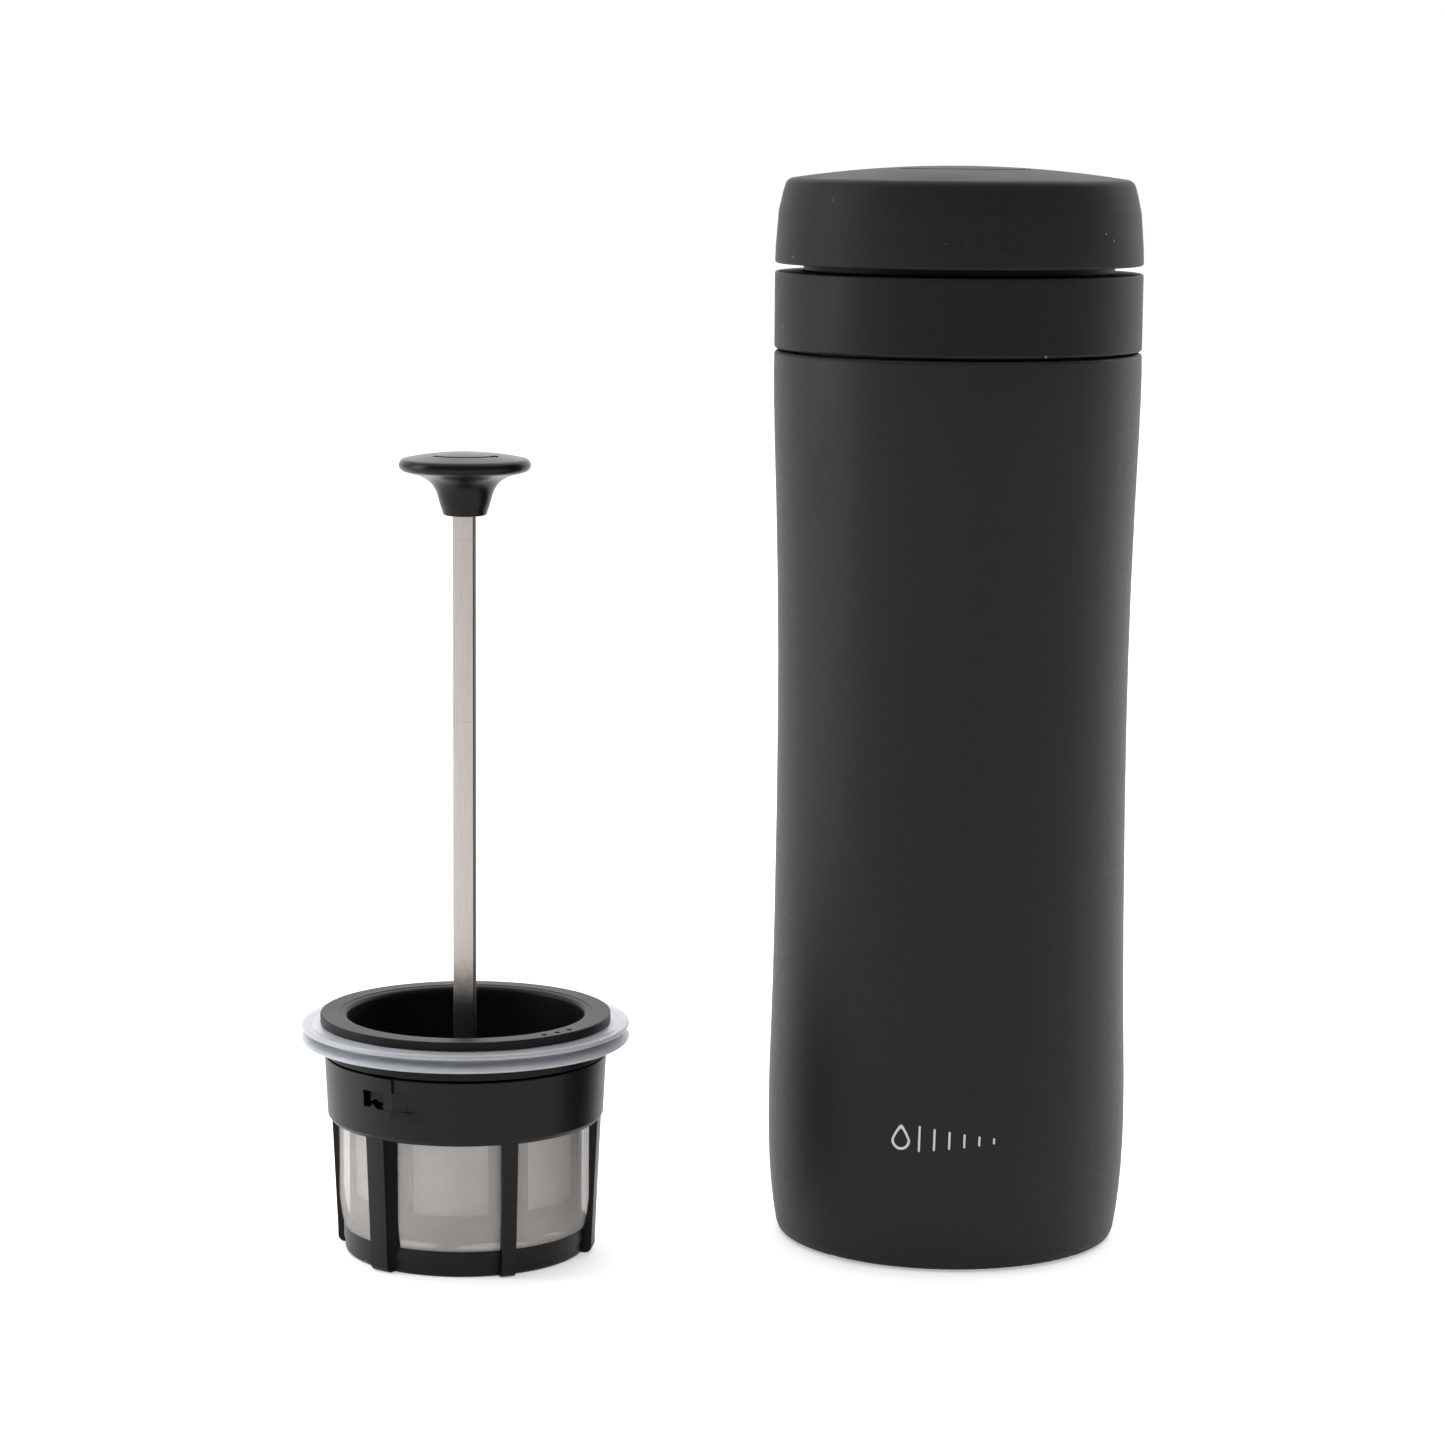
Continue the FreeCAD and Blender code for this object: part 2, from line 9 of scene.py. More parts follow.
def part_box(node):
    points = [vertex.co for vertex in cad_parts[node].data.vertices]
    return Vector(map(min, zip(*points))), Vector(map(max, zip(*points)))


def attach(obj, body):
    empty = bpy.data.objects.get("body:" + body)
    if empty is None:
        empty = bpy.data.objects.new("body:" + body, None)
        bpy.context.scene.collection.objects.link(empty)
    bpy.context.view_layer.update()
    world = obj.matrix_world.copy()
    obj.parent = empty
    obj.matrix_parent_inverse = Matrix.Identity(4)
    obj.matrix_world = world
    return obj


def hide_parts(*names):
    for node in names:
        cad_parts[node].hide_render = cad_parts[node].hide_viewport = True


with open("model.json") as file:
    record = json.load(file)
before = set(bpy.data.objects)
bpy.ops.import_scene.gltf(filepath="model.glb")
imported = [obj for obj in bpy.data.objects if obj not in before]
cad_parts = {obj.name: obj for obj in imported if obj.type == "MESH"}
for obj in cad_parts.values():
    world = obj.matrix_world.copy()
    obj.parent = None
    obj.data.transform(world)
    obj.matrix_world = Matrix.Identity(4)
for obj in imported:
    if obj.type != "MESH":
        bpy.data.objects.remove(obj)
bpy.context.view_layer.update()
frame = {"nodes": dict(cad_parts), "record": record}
NODES = frame["nodes"]
MM = 0.001

# How much of a woven sheet's face is wire, for the outer filter and for the inner one.
SHEET_ALPHA = 0.35
INNER_SHEET_ALPHA = 0.58

# Heights on the filter, in metres: the groove between the seal's lips, where painted shade darkens the
# seal, the press marks across the rod, and the band in which the painted shade and reflection of the filter
# cup on the rod fades out.
GROOVE_Z = 0.04455
PRESS_MARKS_Z = (0.1065, 0.1425)
CUP_SHADE_FADE_Z = (0.0525, 0.0615)

# How far the middle of the printed mark lies left of the wall's front, in metres.
MARK_LEFT = 0.0024

# Places that the looks need, from the frame.
FILTER_AXIS = (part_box("outer_filter_mesh")[0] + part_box("outer_filter_mesh")[1]) / 2
SLEEVE_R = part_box("outer_filter_mesh")[1].x - FILTER_AXIS.x


# Materials. Every texture reads object coordinates, which are metres in the part's own frame.

class Shader:
    """A node material being wired up round one Principled shader."""

    def __init__(self, name, roughness, metallic=0.0, specular=0.5):
        self.material = bpy.data.materials.new(name)
        self.material.use_nodes = True
        self.nodes = self.material.node_tree.nodes
        self.links = self.material.node_tree.links
        self.bsdf = self.nodes["Principled BSDF"]
        self.bsdf.inputs["Roughness"].default_value = roughness
        self.bsdf.inputs["Metallic"].default_value = metallic
        self.bsdf.inputs["Specular IOR Level"].default_value = specular
        self.place = self.nodes.new("ShaderNodeTexCoord").outputs["Object"]
        self.normal = None

    def set(self, **values):
        """Uniform values straight on the shader's sockets; an underscore stands for a space."""
        for key, value in values.items():
            self.bsdf.inputs[key.replace("_", " ")].default_value = value
        return self

    def stretched(self, x, y, z):
        """Object coordinates scaled along each axis."""
        node = self.nodes.new("ShaderNodeMapping")
        node.inputs["Scale"].default_value = (x, y, z)
        self.links.new(self.place, node.inputs["Vector"])
        return node.outputs["Vector"]

    def noise(self, scale, detail=2.0, roughness=0.5, place=None):
        node = self.nodes.new("ShaderNodeTexNoise")
        node.inputs["Scale"].default_value = scale
        node.inputs["Detail"].default_value = detail
        node.inputs["Roughness"].default_value = roughness
        self.links.new(place or self.place, node.inputs["Vector"])
        return node.outputs["Fac"]

    def spread(self, value, low, high, to_low=0.0, to_high=1.0):
        """The value mapped from one range to another, clamped."""
        node = self.nodes.new("ShaderNodeMapRange")
        for socket, number in zip(node.inputs[1:5], (low, high, to_low, to_high)):
            socket.default_value = number
        self.links.new(value, node.inputs["Value"])
        return node.outputs["Result"]

    def math(self, operation, a, b=None):
        node = self.nodes.new("ShaderNodeMath")
        node.operation = operation
        for socket, value in zip(node.inputs, (a, b)):
            if isinstance(value, (int, float)):
                socket.default_value = value
            elif value is not None:
                self.links.new(value, socket)
        return node.outputs["Value"]

    def mix(self, dark, light, factor):
        """A colour between two colours, or colour outputs, by a factor."""
        node = self.nodes.new("ShaderNodeMix")
        node.data_type = "RGBA"
        for socket, value in ((node.inputs[6], dark), (node.inputs[7], light)):
            if isinstance(value, tuple):
                socket.default_value = (*value, 1.0)
            else:
                self.links.new(value, socket)
        self.links.new(factor, node.inputs["Factor"])
        return node.outputs[2]

    def color(self, dark, light, factor):
        """Base colour between two colours, or colour outputs, by a factor."""
        self.links.new(self.mix(dark, light, factor), self.bsdf.inputs["Base Color"])

    def rough(self, factor, low, high):
        self.links.new(self.spread(factor, 0.0, 1.0, low, high), self.bsdf.inputs["Roughness"])

    def bump(self, height, distance, strength=1.0):
        """One more layer of relief, its distance in metres."""
        node = self.nodes.new("ShaderNodeBump")
        node.inputs["Distance"].default_value = distance
        node.inputs["Strength"].default_value = strength
        self.links.new(height, node.inputs["Height"])
        if self.normal:
            self.links.new(self.normal, node.inputs["Normal"])
        self.normal = node.outputs["Normal"]
        self.links.new(self.normal, self.bsdf.inputs["Normal"])


def powder_coat():
    """Charcoal powder coat: a fine pebble over a faint orange peel."""
    s = Shader("powder_coat", 0.5, specular=0.22)
    fine = s.noise(4200.0, 2.0)
    peel = s.noise(900.0, 1.0)
    s.color((0.0059, 0.0053, 0.0056), (0.0106, 0.0096, 0.0101), s.spread(fine, 0.3, 0.7))
    s.rough(peel, 0.44, 0.54)
    s.bump(peel, 0.00004, 0.4)
    s.bump(fine, 0.00002, 0.5)
    return s.material


def moulded_black(name, tint, specular, roughness=0.5):
    """Matte moulded plastic: a spark-eroded grain, slow changes of sheen and a few specks of dust."""
    s = Shader(name, roughness, specular=specular)
    grain = s.noise(5200.0, 1.0)
    flow = s.noise(70.0, 2.0)
    specks = s.spread(s.noise(1100.0, 0.0), 0.885, 0.9)
    dark = tuple(c * tint for c in (0.0058, 0.0053, 0.0056))
    light = tuple(c * tint for c in (0.0104, 0.0096, 0.0100))
    plain = s.mix(dark, light, s.spread(grain, 0.3, 0.7))
    s.color(plain, (0.16, 0.155, 0.15), specks)
    s.rough(flow, roughness - 0.06, roughness + 0.06)
    s.bump(grain, 0.000014, 0.6)
    return s.material


def brushed(name, light, dark, roughness, along=(1.0, 1.0, 0.02)):
    """Steel with its grain drawn along one direction."""
    s = Shader(name, roughness, metallic=1.0)
    place = s.stretched(*along)
    grain = s.noise(9000.0, 3.0, 0.6, place)
    streak = s.noise(1600.0, 2.0, 0.5, place)
    s.color(dark, light, s.spread(s.math("ADD", grain, streak), 0.7, 1.3))
    s.rough(streak, roughness - 0.06, roughness + 0.08)
    s.bump(grain, 0.000006, 0.5)
    return s.material


def rod_steel():
    """Satin bar: long grain, two faint press marks, and painted shade and reflection of the cup, mottled at
    its edge, where it meets the filter.
    """
    s = Shader("rod_steel", 0.36, metallic=1.0)
    place = s.stretched(1.0, 1.0, 0.02)
    grain = s.noise(7000.0, 3.0, 0.6, place)
    height = s.nodes.new("ShaderNodeSeparateXYZ")
    s.links.new(s.place, height.inputs["Vector"])
    z = height.outputs["Z"]
    # Painted shade: below a mottled edge, the bar darkens towards its foot to stand for the cup's shade and
    # the black cup reflected in it.
    shade_mottle = s.noise(900.0, 3.0, 0.6)
    edge = s.math("ADD", z, s.math("MULTIPLY", shade_mottle, 0.006))
    cup_shade = s.spread(edge, *CUP_SHADE_FADE_Z)
    steel = s.mix((0.415, 0.385, 0.362), (0.495, 0.462, 0.436), s.spread(grain, 0.3, 0.7))
    for mark in PRESS_MARKS_Z:
        near = s.spread(s.math("ABSOLUTE", s.math("SUBTRACT", z, mark)), 0.0, 0.00022, 0.35, 0.0)
        steel = s.mix(steel, (0.30, 0.28, 0.26), near)
    s.color((0.16, 0.147, 0.135), steel, cup_shade)
    s.rough(grain, 0.30, 0.42)
    s.bump(grain, 0.000006, 0.5)
    return s.material


def woven(name, alpha):
    """Fine plain weave of steel wire, its holes too small to see one by one."""
    s = Shader(name, 0.62, metallic=0.7, specular=0.2)
    s.set(Alpha=alpha, Specular_Tint=(0.5, 0.5, 0.5, 1.0))
    pitch = 0.00022
    parts = s.nodes.new("ShaderNodeSeparateXYZ")
    s.links.new(s.place, parts.inputs["Vector"])
    out_x = s.math("SUBTRACT", parts.outputs["X"], FILTER_AXIS.x)
    out_y = s.math("SUBTRACT", parts.outputs["Y"], FILTER_AXIS.y)
    around = s.math("MULTIPLY", s.math("ARCTAN2", out_y, out_x), SLEEVE_R)
    across = s.math("SINE", s.math("MULTIPLY", around, math.pi / pitch))
    up = s.math("SINE", s.math("MULTIPLY", parts.outputs["Z"], math.pi / pitch))
    weave = s.math("MULTIPLY", across, up)
    cloud = s.noise(90.0, 1.0)
    tone = s.math("ADD", s.math("MULTIPLY", weave, 0.18), cloud)
    s.color((0.54, 0.508, 0.487), (0.73, 0.698, 0.675), s.spread(tone, -0.1, 1.1))
    s.bump(weave, 0.00001, 0.12)
    return s.material


def clear_silicone():
    """Milky silicone that lets some light through, darkened along the groove between its lips as painted
    shade.
    """
    s = Shader("clear_silicone", 0.28)
    s.set(Transmission_Weight=0.55, IOR=1.41)
    cloud = s.mix((0.64, 0.665, 0.71), (0.78, 0.80, 0.835), s.noise(300.0, 2.0))
    parts = s.nodes.new("ShaderNodeSeparateXYZ")
    s.links.new(s.place, parts.inputs["Vector"])
    # Painted shade: the colour darkens towards the groove between the lips.
    from_groove = s.math("ABSOLUTE", s.math("SUBTRACT", parts.outputs["Z"], GROOVE_Z))
    s.color((0.36, 0.385, 0.43), cloud, s.spread(from_groove, 0.0002, 0.0008))
    s.bump(s.noise(3000.0, 1.0), 0.00001, 0.4)
    return s.material


def soft_black(name, color):
    s = Shader(name, 0.6, specular=0.4)
    grain = s.noise(3500.0, 2.0)
    s.color(tuple(c * 0.8 for c in color), tuple(c * 1.3 for c in color), grain)
    s.bump(grain, 0.00002, 0.5)
    return s.material


def simple_metal(name, color, roughness):
    s = Shader(name, roughness, metallic=1.0)
    grain = s.noise(2500.0, 3.0)
    s.color(tuple(c * 0.85 for c in color), tuple(min(1.0, c * 1.1) for c in color), grain)
    s.bump(grain, 0.00001, 0.5)
    return s.material


def glass_bead():
    s = Shader("sealing_glass", 0.15)
    s.set(Transmission_Weight=0.7, IOR=1.5)
    s.color((0.3, 0.4, 0.36), (0.4, 0.5, 0.45), s.noise(1500.0))
    return s.material


MATERIALS = {
    "powder_coat": powder_coat(),
    "moulded_black": moulded_black("moulded_black", 1.0, 0.2),
    "bare_steel": brushed("bare_steel", (0.62, 0.60, 0.58), (0.50, 0.48, 0.46), 0.34, (1.0, 1.0, 1.0)),
    "rod_steel": rod_steel(),
    "satin_steel": brushed("satin_steel", (0.54, 0.505, 0.475), (0.46, 0.43, 0.405), 0.34),
    "woven_steel": woven("woven_steel", SHEET_ALPHA),
    "clear_silicone": clear_silicone(),
    "dark_silicone": soft_black("dark_silicone", (0.03, 0.03, 0.03)),
    "dark_rubber": soft_black("dark_rubber", (0.015, 0.015, 0.015)),
    "brass": simple_metal("brass", (0.75, 0.56, 0.27), 0.35),
    "getter_metal": simple_metal("getter_metal", (0.28, 0.28, 0.29), 0.6),
    "sealing_glass": glass_bead(),
}


def paint(piece, slot):
    """Gives a piece the one material of a record's slot, given by name."""
    piece.data.materials.clear()
    piece.data.materials.append(MATERIALS[slot])


def smooth(piece, angle=35.0):
    for face in piece.data.polygons:
        face.use_smooth = True
    piece.data.set_sharp_from_angle(angle=math.radians(angle))


SLOTS = {row["node"]: row["material_slot"] for row in frame["record"]["subparts"]}
for name, node in NODES.items():
    node.data.materials.clear()
    node.data.materials.append(MATERIALS[SLOTS[name]])

# The inner basket's mesh is denser, so less shows through it.
for name in ("inner_filter_mesh", "inner_bottom_mesh"):
    NODES[name].data.materials[0] = woven("inner_" + name.split("_")[1] + "_steel", INNER_SHEET_ALPHA)

# The lid is a softer, greyer plastic than the collar; the filter's frames and the knob are blacker.
OTHER_BLACKS = {
    "cap_shell": moulded_black("lid_black", 1.75, 0.11, 0.5),
    "collar": moulded_black("collar_black", 0.75, 0.17, 0.5),
    "knob": moulded_black("knob_black", 0.4, 0.17, 0.3),
    "top_ring": moulded_black("ring_black", 0.7, 0.15, 0.42),
    "inner_filter_frame": moulded_black("inner_frame_black", 0.5, 0.14, 0.42),
    "outer_filter_frame": moulded_black("outer_frame_black", 0.32, 0.21, 0.4),
}
for name, material in OTHER_BLACKS.items():
    NODES[name].data.materials[0] = material


# Pieces built here. Sizes are in millimetres about the filter's axis, and become metres in the mesh.

def smooth_outline(points, steps):
    """Points on an open Catmull-Rom curve through an outline's points."""
    last = len(points) - 1
    curve = []
    for i in range(last):
        a, b, c, d = (Vector(points[min(max(i + k, 0), last)]) for k in (-1, 0, 1, 2))
        for step in range(steps):
            u = step / steps
            curve.append(0.5 * (2 * b + (c - a) * u + (2 * a - 5 * b + 4 * c - d) * u * u
                                + (3 * b - a - 3 * c + d) * u * u * u))
    curve.append(Vector(points[-1]))
    return curve


def about(centre, r, a, z):
    """The point at a radius and height in millimetres, at an angle measured from the front."""
    return (centre.x + r * MM * math.sin(a), centre.y - r * MM * math.cos(a), z * MM)


def lathe(name, outline, centre, around, shift=None):
    """A closed outline of (radius, height) turned about an upright axis. shift gives a radius's growth."""
    bm = bmesh.new()
    rows = []
    for i in range(around):
        a = 2 * math.pi * i / around
        row = []
        for r, z in outline:
            r = r + (shift(a, z) if shift else 0.0)
            row.append(bm.verts.new(about(centre, r, a, z)))
        rows.append(row)
    count = len(outline)
    for i in range(around):
        here, ahead = rows[i], rows[(i + 1) % around]
        for j in range(count):
            k = (j + 1) % count
            bm.faces.new((here[j], ahead[j], ahead[k], here[k]))
    bmesh.ops.recalc_face_normals(bm, faces=bm.faces)
    return to_object(name, bm)


def strip(bm, below, above):
    """The band of faces between two closed loops of points."""
    n = len(below)
    for i in range(n):
        bm.faces.new((below[i], below[(i + 1) % n], above[(i + 1) % n], above[i]))


def loft(bm, loops):
    """A closed solid through a row of loops."""
    for below, above in zip(loops, loops[1:]):
        strip(bm, below, above)
    bm.faces.new(list(reversed(loops[0])))
    bm.faces.new(loops[-1])


def to_object(name, bm):
    mesh = bpy.data.meshes.new(name)
    bm.to_mesh(mesh)
    bm.free()
    piece = bpy.data.objects.new(name, mesh)
    bpy.context.scene.collection.objects.link(piece)
    smooth(piece)
    return piece


def mount(piece, body, slot, *nodes):
    """The piece rides on a body, takes a slot's finish and stands for CAD nodes."""
    paint(piece, slot)
    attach(piece, body)
    if nodes:
        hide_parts(*nodes)
    return piece


def lip_gasket():
    """Two thin lips with a groove between them, on a body that the ring and the flange pinch."""
    outer = [(30.2, 42.52), (31.4, 42.56), (32.4, 42.8), (32.64, 43.2), (32.45, 43.65), (31.75, 43.95),
             (30.9, 44.2), (30.6, 44.6), (30.9, 45.0), (31.9, 45.2), (32.5, 45.4), (32.64, 45.8),
             (32.5, 46.15), (32.1, 46.3), (31.3, 46.2), (30.5, 46.02), (29.8, 46.05)]
    inner = [Vector((29.0, 46.22)), Vector((27.35, 46.22)), Vector((27.35, 42.52))]
    outline = smooth_outline(outer, 4) + inner
    mount(lathe("lip_gasket", outline, FILTER_AXIS, 256), "lip_gasket", "clear_silicone", "lip_seal")


def sleeve(name, body, node, slope, ribs, rib_bearing, give):
    """A woven sleeve that dips in a little between the ribs and has the small unevenness of thin cloth."""
    low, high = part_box(node)
    bottom, top = low.z / MM, high.z / MM
    thick = 0.28

    def dip(a, z):
        between = abs(math.sin((a - math.radians(rib_bearing)) * ribs / 2))
        up = math.sin(math.pi * min(1.0, max(0.0, (z - bottom) / (top - bottom))))
        waves = math.sin(5 * a + 0.4 * z) + 0.6 * math.sin(11 * a - 0.9 * z + 1.0)
        return -give * between * up * (1.0 + 0.22 * waves)

    heights = [bottom + (top - bottom) * i / 40 for i in range(41)]
    outline = [(slope(z), z) for z in heights] + [(slope(z) - thick, z) for z in reversed(heights)]
    mount(lathe(name, outline, FILTER_AXIS, 288, dip), body, "woven_steel", node)


def outer_slope(z):
    """The outer sleeve tucks in below to meet the base ring."""
    base, knee = 5.3, 12.0
    full = SLEEVE_R / MM
    tuck = 0.95
    if z >= knee:
        return full
    return full - tuck * (1.0 - math.sin((z - base) / (knee - base) * math.pi / 2))


def rib_fillets():
    """Fillets that carry the right flank of each wide rib down to the mesh."""
    low, high, steps = 0.9, 27.6, 16
    foot_r, top_r = 25.9, 27.1
    foot_z, lean_height = 3.0, 25.2
    profile = ((0.0, 4.5), (0.45, 5.4), (0.8, 7.0), (1.0, 9.4))
    wide_ribs = (-37.5, 82.5, 202.5)
    bm = bmesh.new()
    for bearing in wide_ribs:
        loops = []
        for step in range(steps + 1):
            z = low + (high - low) * step / steps
            rib_r = foot_r + (top_r - foot_r) * min(1.0, max(0.0, (z - foot_z) / lean_height))
            base_r = outer_slope(z) + 0.02
            points = [(rib_r + (base_r - rib_r) * fall, turn) for fall, turn in profile]
            points += [(base_r - 0.2, profile[-1][1]), (base_r - 0.2, 3.5), (rib_r, 3.5)]
            loop = []
            for r, turn in points:
                loop.append(bm.verts.new(about(FILTER_AXIS, r, math.radians(bearing + turn), z)))
            loops.append(loop)
        loft(bm, loops)
    bmesh.ops.recalc_face_normals(bm, faces=bm.faces)
    fillets = to_object("rib_fillets", bm)
    mount(fillets, "outer_filter", SLOTS["outer_filter_frame"])
    # The flank is the same plastic as the rib; its deeper black is painted shade, for the shade the flank
    # lies in.
    fillets.data.materials[0] = moulded_black("flank_painted_shade_black", 0.2, 0.1, 0.5)


def rod():
    """Flat bar with sheared narrow sides, eased edges, and a threaded stud at each end."""
    low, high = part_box("plunger_rod")
    bar_low, bar_high = 11.3, 147.9
    half_w, half_t, ease = 4.3 / 2, 1.0, 0.2
    shift = -0.00016
    corners = []
    for quarter, (sx, sy) in enumerate(((1, 1), (-1, 1), (-1, -1), (1, -1))):
        for step in range(4):
            a = math.radians(90.0 * quarter + 30.0 * step)
            x = (half_w - ease) * sx + ease * math.cos(a)
            y = (half_t - ease) * sy + ease * math.sin(a)
            corners.append((x, y))
    bm = bmesh.new()
    twist = Matrix.Rotation(math.radians(-14.0), 3, "Z")
    heights = [bar_low, bar_low + 0.15, bar_high - 0.15, bar_high]
    inset = [0.15, 0.0, 0.0, 0.15]
    loops = []
    for z, cut in zip(heights, inset):
        loop = []
        for x, y in corners:
            p = twist @ Vector((x * (1 - cut / half_w), y * (1 - cut / half_t), 0.0)) * MM
            loop.append(bm.verts.new((FILTER_AXIS.x + p.x + shift, FILTER_AXIS.y + p.y, z * MM)))
        loops.append(loop)
    loft(bm, loops)
    bmesh.ops.recalc_face_normals(bm, faces=bm.faces)
    bar = to_object("plunger_rod_bar", bm)
    mount(bar, "inner_filter", "satin_steel", "plunger_rod")
    bar.data.materials[0] = MATERIALS["rod_steel"]
    # The narrow sides get a near-black finish, which is painted shade.
    bar.data.materials.append(shaded_sheared_edge())
    across = twist @ Vector((1.0, 0.0, 0.0))
    for face in bar.data.polygons:
        face.material_index = 1 if abs(face.normal.dot(across)) > 0.6 else 0
    studs = (("rod_stud_lower", low.z / MM, bar_low + 0.2),
             ("rod_stud_upper", bar_high - 0.2, high.z / MM))
    for name, bottom, top in studs:
        mount(lathe(name, stud_outline(bottom, top), FILTER_AXIS, 48), "inner_filter", "satin_steel")


def stud_outline(bottom, top):
    """Outline of a stud with a V thread's rings."""
    r, depth, pitch = 1.88, 0.22, 0.5
    outline = [(0.02, bottom), (r - depth, bottom)]
    z = bottom + 0.3
    while z + pitch < top - 0.2:
        outline += [(r - depth, z), (r, z + pitch / 2)]
        z += pitch
    return outline + [(r - depth, z), (r - depth, top), (0.02, top)]


def shaded_sheared_edge():
    """The bar's narrow sides: rougher where the strip was cut, and painted near-black as shade."""
    s = Shader("sheared_steel_painted_shade", 0.5, metallic=0.9)
    grain = s.noise(6000.0, 2.0, place=s.stretched(1.0, 1.0, 0.15))
    s.color((0.022, 0.020, 0.018), (0.055, 0.050, 0.046), grain)
    s.bump(grain, 0.00003, 0.6)
    return s.material


def capsule(x, half_h, half_w=0.19):
    """A thin upright stroke with round ends, its centre at x."""
    half_flat = 0.02
    outline = []
    for cx, cy, start in ((1, 1, 0.0), (-1, 1, 90.0), (-1, -1, 180.0), (1, -1, 270.0)):
        for step in range(5):
            a = math.radians(start + 22.5 * step)
            y = cy * (half_h - half_w) + half_w * math.sin(a)
            outline.append((x + half_flat * cx + half_w * math.cos(a), y))
    return outline


def drop(scale):
    """Outline of a drop, its point up, at the left end of the mark."""
    outline = []
    for i in range(36):
        a = 2 * math.pi * i / 36
        x = 1.9 * math.sin(a) * (1 - 0.55 * max(0.0, math.cos(a)))
        y = (2.0 if math.cos(a) < 0 else 3.1) * math.cos(a)
        outline.append((-8.4 + scale * x, -0.5 + scale * y))
    return outline


def print_plan():
    """The mark's shapes, flat, in millimetres: a hollow drop and thin strokes that shorten away from it.
    Each is an outline and the outline of its hole, if it has one."""
    shapes = []
    shapes.append((drop(1.0), drop(0.74)))
    x, spacing = -4.7, 2.95
    for half_h in (2.6, 2.2, 1.8, 1.4, 1.0, 0.6):
        shapes.append((capsule(x, half_h), None))
        x += spacing
    return shapes


def printed_mark():
    """A generic pictogram printed on the wall's front: thin ink that lies on the curve."""
    shell = NODES["outer_shell"].data
    low, high = 0.020, 0.034
    near = [v.co for v in shell.vertices if low < v.co.z < high]
    r = max(math.hypot(c.x, c.y) for c in near)
    middle = 0.0272
    lean = math.radians(-1.4)
    sunk, proud = -0.00004, 0.00003

    def ring(outline, lift):
        """An outline's points on the wall, turned by the row's lean."""
        c, s = math.cos(lean), math.sin(lean)
        turned = [(x * c - y * s, x * s + y * c) for x, y in outline]
        return [bm.verts.new(on_wall(x * MM, y * MM + middle, r + lift)) for x, y in turned]

    bm = bmesh.new()
    for outline, hole in print_plan():
        back, front = ring(outline, sunk), ring(outline, proud)
        strip(bm, back, front)
        if hole is None:
            bm.faces.new(front)
            bm.faces.new(list(reversed(back)))
        else:
            hole_back, hole_front = ring(hole, sunk), ring(hole, proud)
            strip(bm, hole_front, hole_back)
            strip(bm, front, hole_front)
            strip(bm, hole_back, back)
    bmesh.ops.recalc_face_normals(bm, faces=bm.faces)
    mark = to_object("printed_mark", bm)
    mark.data.materials.append(ink())
    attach(mark, "bottle")


def on_wall(x, z, r):
    """The point at arc length x from the middle of the mark, which is a little left of the front."""
    a = (x - MARK_LEFT) / r
    return (r * math.sin(a), -r * math.cos(a), z)


def ink():
    s = Shader("pale_ink", 0.55, specular=0.3)
    s.color((0.50, 0.50, 0.50), (0.62, 0.62, 0.615), s.noise(2500.0, 2.0))
    return s.material


lip_gasket()
printed_mark()
sleeve("outer_mesh_sleeve", "outer_filter", "outer_filter_mesh", outer_slope, 6, -37.5, 0.16)
rib_fillets()
rod()


# Camera, floor and light

FRONT_LIGHT = 0.32
BACK_LIGHT = 1.6
EYE = (-0.0462, -0.8150, 0.2238)
EYE_PITCH = 8.348
EYE_ROLL = 0.446
EYE_LENS = 101.8


def camera():
    """The view that the bottle and the filter are shown from, a long lens a little above the lid."""
    data = bpy.data.cameras.new("camera")
    data.sensor_width = 36.0
    data.lens = EYE_LENS
    data.clip_start = 0.01
    data.clip_end = 20.0
    eye = bpy.data.objects.new("camera", data)
    bpy.context.scene.collection.objects.link(eye)
    tilt = Matrix.Rotation(math.radians(90.0 - EYE_PITCH), 4, "X")
    roll = Matrix.Rotation(math.radians(EYE_ROLL), 4, "Z")
    eye.matrix_world = Matrix.Translation(EYE) @ tilt @ roll
    bpy.context.scene.camera = eye


def floor():
    size = 6.0
    mesh = bpy.data.meshes.new("floor")
    corners = [(-size, -size, 0), (size, -size, 0), (size, size, 0), (-size, size, 0)]
    mesh.from_pydata(corners, [], [(0, 1, 2, 3)])
    plane = bpy.data.objects.new("floor", mesh)
    bpy.context.scene.collection.objects.link(plane)
    s = Shader("floor_white", 0.7, specular=0.2)
    s.color((0.93, 0.93, 0.93), (0.95, 0.95, 0.95), s.noise(3.0))
    s.set(Emission_Color=(1.0, 1.0, 1.0, 1.0), Emission_Strength=0.42)
    mesh.materials.append(s.material)


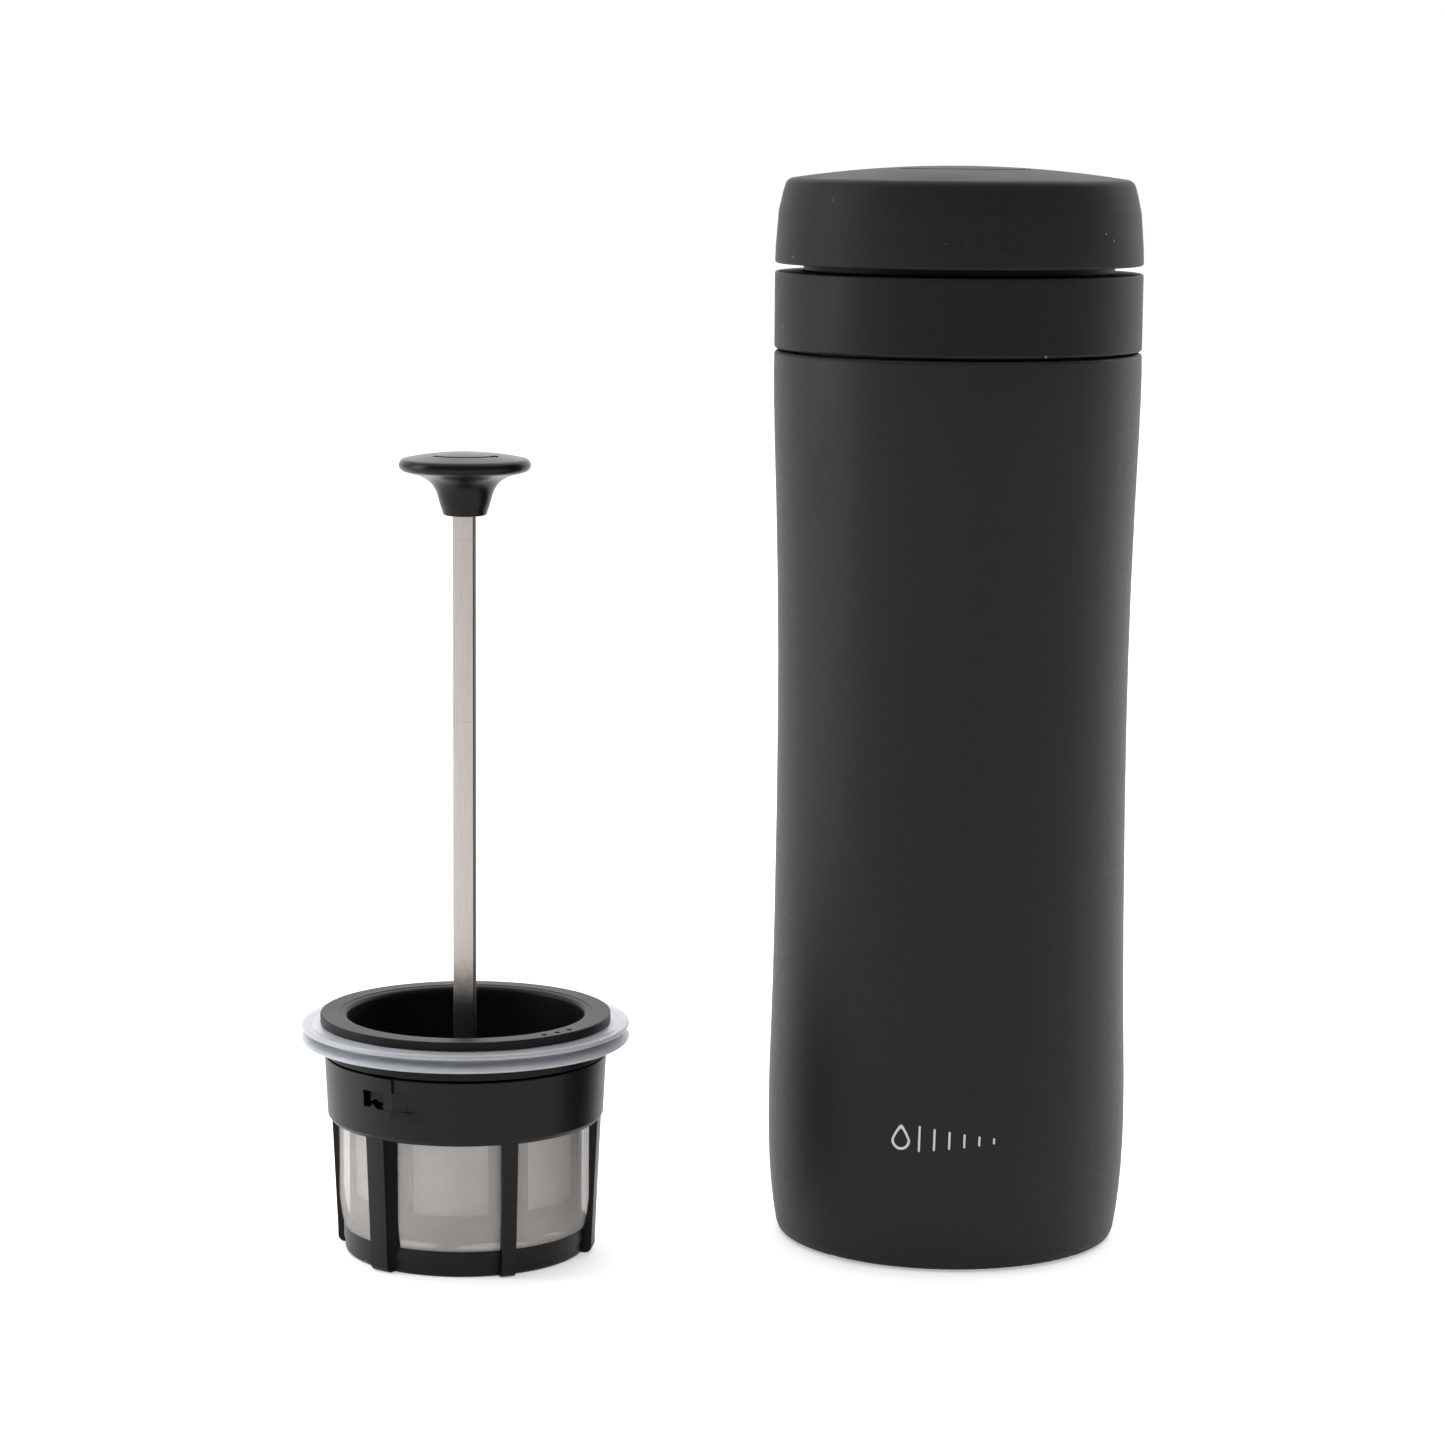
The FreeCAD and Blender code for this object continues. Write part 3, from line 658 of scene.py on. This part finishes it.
def area_light(name, place, aim, size, power, color=(1.0, 1.0, 1.0)):
    data = bpy.data.lights.new(name, "AREA")
    data.shape = "RECTANGLE"
    data.size, data.size_y = size
    data.energy = power
    data.color = color
    lamp = bpy.data.objects.new(name, data)
    lamp.location = place
    lamp.rotation_euler = (Vector(aim) - Vector(place)).to_track_quat("-Z", "Y").to_euler()
    bpy.context.scene.collection.objects.link(lamp)


def sky():
    """White behind the object. The light that it casts is strongest from behind, weakest from the front."""
    world = bpy.data.worlds.new("studio")
    world.use_nodes = True
    nodes = world.node_tree.nodes
    links = world.node_tree.links
    shown = nodes["Background"]
    shown.inputs["Color"].default_value = (1.0, 1.0, 1.0, 1.0)
    lit = nodes.new("ShaderNodeBackground")
    lit.inputs["Color"].default_value = (1.0, 0.99, 0.985, 1.0)
    direction = nodes.new("ShaderNodeTexCoord")
    parts = nodes.new("ShaderNodeSeparateXYZ")
    links.new(direction.outputs["Generated"], parts.inputs["Vector"])
    ramp = nodes.new("ShaderNodeMapRange")
    ramp.interpolation_type = "SMOOTHSTEP"
    for socket, number in zip(ramp.inputs[1:5], (-0.1, 0.95, FRONT_LIGHT, BACK_LIGHT)):
        socket.default_value = number
    links.new(parts.outputs["Y"], ramp.inputs["Value"])
    links.new(ramp.outputs["Result"], lit.inputs["Strength"])
    mix = nodes.new("ShaderNodeMixShader")
    path = nodes.new("ShaderNodeLightPath")
    links.new(path.outputs["Is Camera Ray"], mix.inputs["Fac"])
    links.new(lit.outputs["Background"], mix.inputs[1])
    links.new(shown.outputs["Background"], mix.inputs[2])
    links.new(mix.outputs["Shader"], nodes["World Output"].inputs["Surface"])
    bpy.context.scene.world = world


camera()
floor()
sky()
area_light("top", (0.0, 0.3, 1.6), (0.0, 0.1, 0.0), (2.4, 2.4), 26.0)
area_light("left", (-1.15, -0.05, 0.42), (-0.03, 0.0, 0.1), (0.45, 1.0), 6.5)
area_light("right", (0.95, 0.75, 0.42), (0.0, 0.0, 0.1), (0.4, 1.0), 1.5)
bpy.context.scene.view_settings.view_transform = "Standard"
